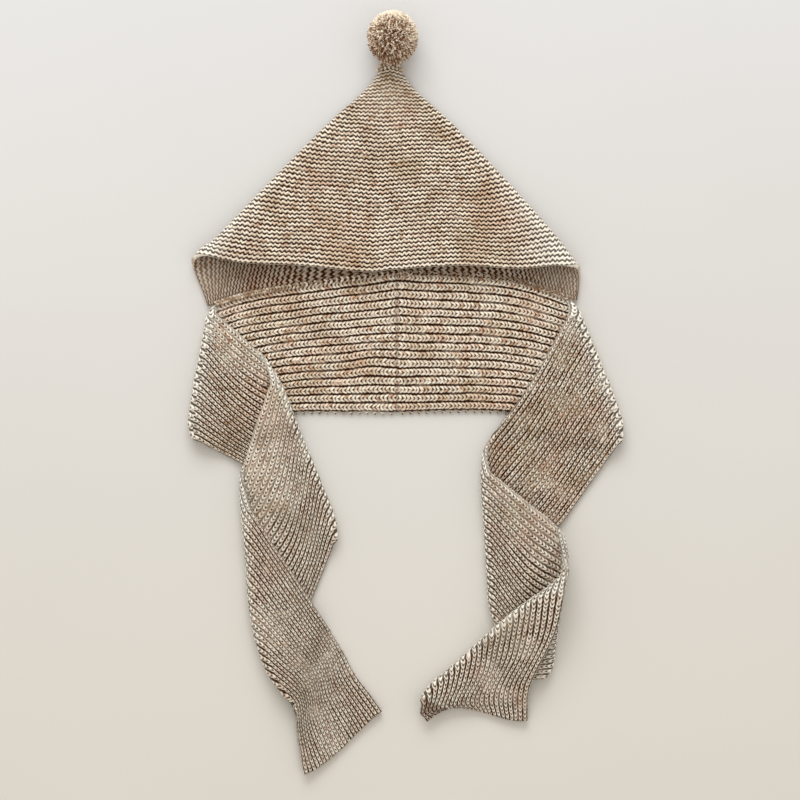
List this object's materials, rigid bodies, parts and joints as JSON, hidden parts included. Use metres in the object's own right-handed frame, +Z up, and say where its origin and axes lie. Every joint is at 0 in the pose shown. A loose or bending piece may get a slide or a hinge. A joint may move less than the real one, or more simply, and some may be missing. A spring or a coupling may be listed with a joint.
{
  "type": "knitted pixie hood",
  "caption": "Hand-knitted pixie hood with a ribbed scarf and folded ties and a yarn pompom at the peak, lying flat.",
  "frame": {"origin": "the middle of the table under the whole hood as it lies", "axes": "+Y from the ties' ends towards the peak, +X to the right as seen from above, +Z up from the table"},
  "size_m": [0.4046, 0.7034, 0.0439],
  "materials": {
    "hood": "marled worsted wool, garter stitch",
    "scarf": "marled worsted wool, rib",
    "neck_seam": "marled worsted wool, seam ridge",
    "pompom": "cut yarn tufts",
    "pompom_tie": "wrapped yarn"
  },
  "bodies": {
    "root": {"hood": "hood", "scarf": "scarf", "neck_seam": "neck_seam", "pompom": "pompom", "pompom_tie": "pompom_tie"}
  },
  "joints": []
}
